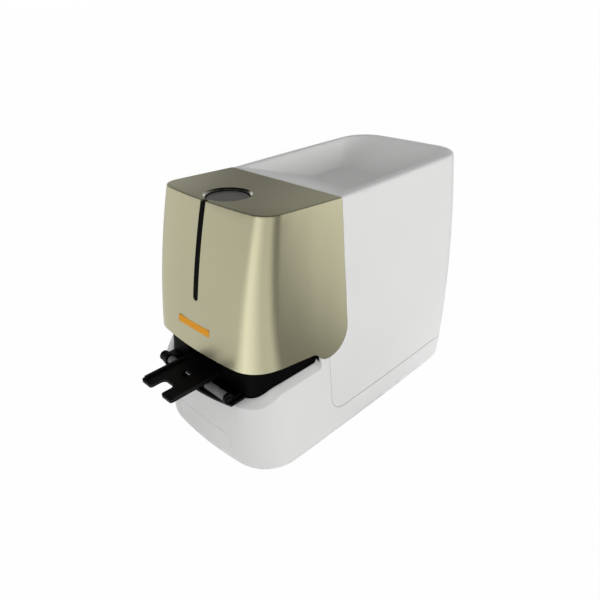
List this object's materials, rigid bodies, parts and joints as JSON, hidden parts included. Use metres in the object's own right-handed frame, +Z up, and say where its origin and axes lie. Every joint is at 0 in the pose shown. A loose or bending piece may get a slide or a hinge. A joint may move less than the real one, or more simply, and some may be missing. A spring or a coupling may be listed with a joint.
{
  "type": "phosphor plate scanner",
  "caption": "Desktop scanner for dental phosphor imaging plates: plate tray on a screw drive, laser scan unit, start button, collecting drawer and storage basin on top.",
  "frame": {"origin": "on the table, under the middle of the overall length and on the plane of symmetry", "axes": "+Z up, -Y towards the user and the plate tray, +X to the right of someone who looks along +Y at the tray side"},
  "size_m": [0.1574, 0.3352, 0.2282],
  "materials": {
    "gold_cover": "satin champagne gold",
    "white_shell": "fine matt white",
    "black_plastic": "matt black",
    "dark_window": "glossy black",
    "polished_ring": "polished",
    "button_grey": "satin dark grey",
    "orange_label": "smooth",
    "roller_rubber": "ground rubber",
    "foot_rubber": "moulded rubber",
    "clear_plastic": "frosted",
    "steel": "ground",
    "zinc_plate": "zinc plated sheet",
    "cast_alloy": "machined",
    "brass": "turned",
    "optic_glass": "polished",
    "mirror_face": "front silvered",
    "circuit_board": "solder mask green",
    "chip_black": "moulded epoxy"
  },
  "bodies": {
    "housing": {"axle_caps": "black_plastic", "base_shell": "white_shell", "board_frame": "zinc_plate", "board_parts": "chip_black", "button_ring": "polished_ring", "button_switch": "black_plastic", "button_well": "black_plastic", "chassis_plate": "zinc_plate", "chassis_screws": "steel", "cooling_fan": "black_plastic", "dc_inlet": "black_plastic", "drawer_rails": "black_plastic", "erase_lamp": "circuit_board", "fascia": "black_plastic", "fold_mirror": "mirror_face", "front_bulkhead": "zinc_plate", "front_cover": "gold_cover", "guide_rods": "steel", "label_bar": "orange_label", "laser_holder": "black_plastic", "laser_module": "cast_alloy", "light_board": "circuit_board", "light_guide": "clear_plastic", "light_pipe": "clear_plastic", "main_board": "circuit_board", "mirror_brackets": "zinc_plate", "optics_plate": "black_plastic", "pmt_shield": "black_plastic", "pmt_tube": "optic_glass", "polygon_motor": "steel", "power_board": "circuit_board", "rear_bulkhead": "zinc_plate", "rear_cover": "white_shell", "rear_panel": "black_plastic", "roller_axle": "steel", "roller_bracket": "black_plastic", "rubber_feet": "foot_rubber", "scan_lens": "optic_glass", "screw_bearing": "brass", "side_plates": "zinc_plate", "slot_window": "dark_window", "switch_housing": "black_plastic", "top_tray": "white_shell", "transport_motor": "steel", "usb_socket": "black_plastic"},
    "carriage": {"plate_tray": "black_plastic", "tray_catch": "steel", "carriage_block": "black_plastic", "carriage_bushes": "brass", "carriage_nut": "brass"},
    "screw": {"lead_screw": "steel"},
    "left_roller_body": {"left_roller": "roller_rubber"},
    "right_roller_body": {"right_roller": "roller_rubber"},
    "button": {"start_button": "button_grey", "switch_actuator": "black_plastic"},
    "drawer": {"drawer_front": "white_shell", "drawer_box": "black_plastic"},
    "rocker": {"rocker_switch": "black_plastic"},
    "mirror": {"polygon_mirror": "mirror_face"},
    "fan": {"fan_rotor": "black_plastic"}
  },
  "joints": [
    {"name": "tray_slide", "type": "slide", "parent": "housing", "child": "carriage", "axis": [0, 1, 0], "range_m": [0, 0.055]},
    {"name": "screw_turn", "type": "hinge", "parent": "housing", "child": "screw", "pos_m": [0, -0.09157, 0.072], "axis": [0, 1, 0], "range_deg": [-10, 3310]},
    {"name": "left_roller_spin", "type": "hinge", "parent": "housing", "child": "left_roller_body", "pos_m": [-0.03, -0.1304, 0.0816], "axis": [1, 0, 0], "continuous": true},
    {"name": "right_roller_spin", "type": "hinge", "parent": "housing", "child": "right_roller_body", "pos_m": [0.03, -0.1304, 0.0816], "axis": [1, 0, 0], "continuous": true},
    {"name": "button_press", "type": "slide", "parent": "housing", "child": "button", "axis": [0, -0.0549, -0.9985], "range_m": [0, 0.001], "stiffness_N_per_m": 1500, "springref_m": -0.0005},
    {"name": "drawer_slide", "type": "slide", "parent": "housing", "child": "drawer", "axis": [0, -1, 0], "range_m": [0, 0.065]},
    {"name": "rocker_tip", "type": "hinge", "parent": "housing", "child": "rocker", "pos_m": [-0.022, 0.1475, 0.06], "axis": [1, 0, 0], "range_deg": [-16, 0]},
    {"name": "mirror_spin", "type": "hinge", "parent": "housing", "child": "mirror", "pos_m": [0.01, 0.05203, 0.145], "axis": [0, 0, 1], "continuous": true},
    {"name": "fan_spin", "type": "hinge", "parent": "housing", "child": "fan", "pos_m": [0, 0.141, 0.116], "axis": [0, 1, 0], "continuous": true}
  ],
  "couplings": [
    {"joint": "screw_turn", "follows": "tray_slide", "rad_per_m": 1047.2}
  ]
}
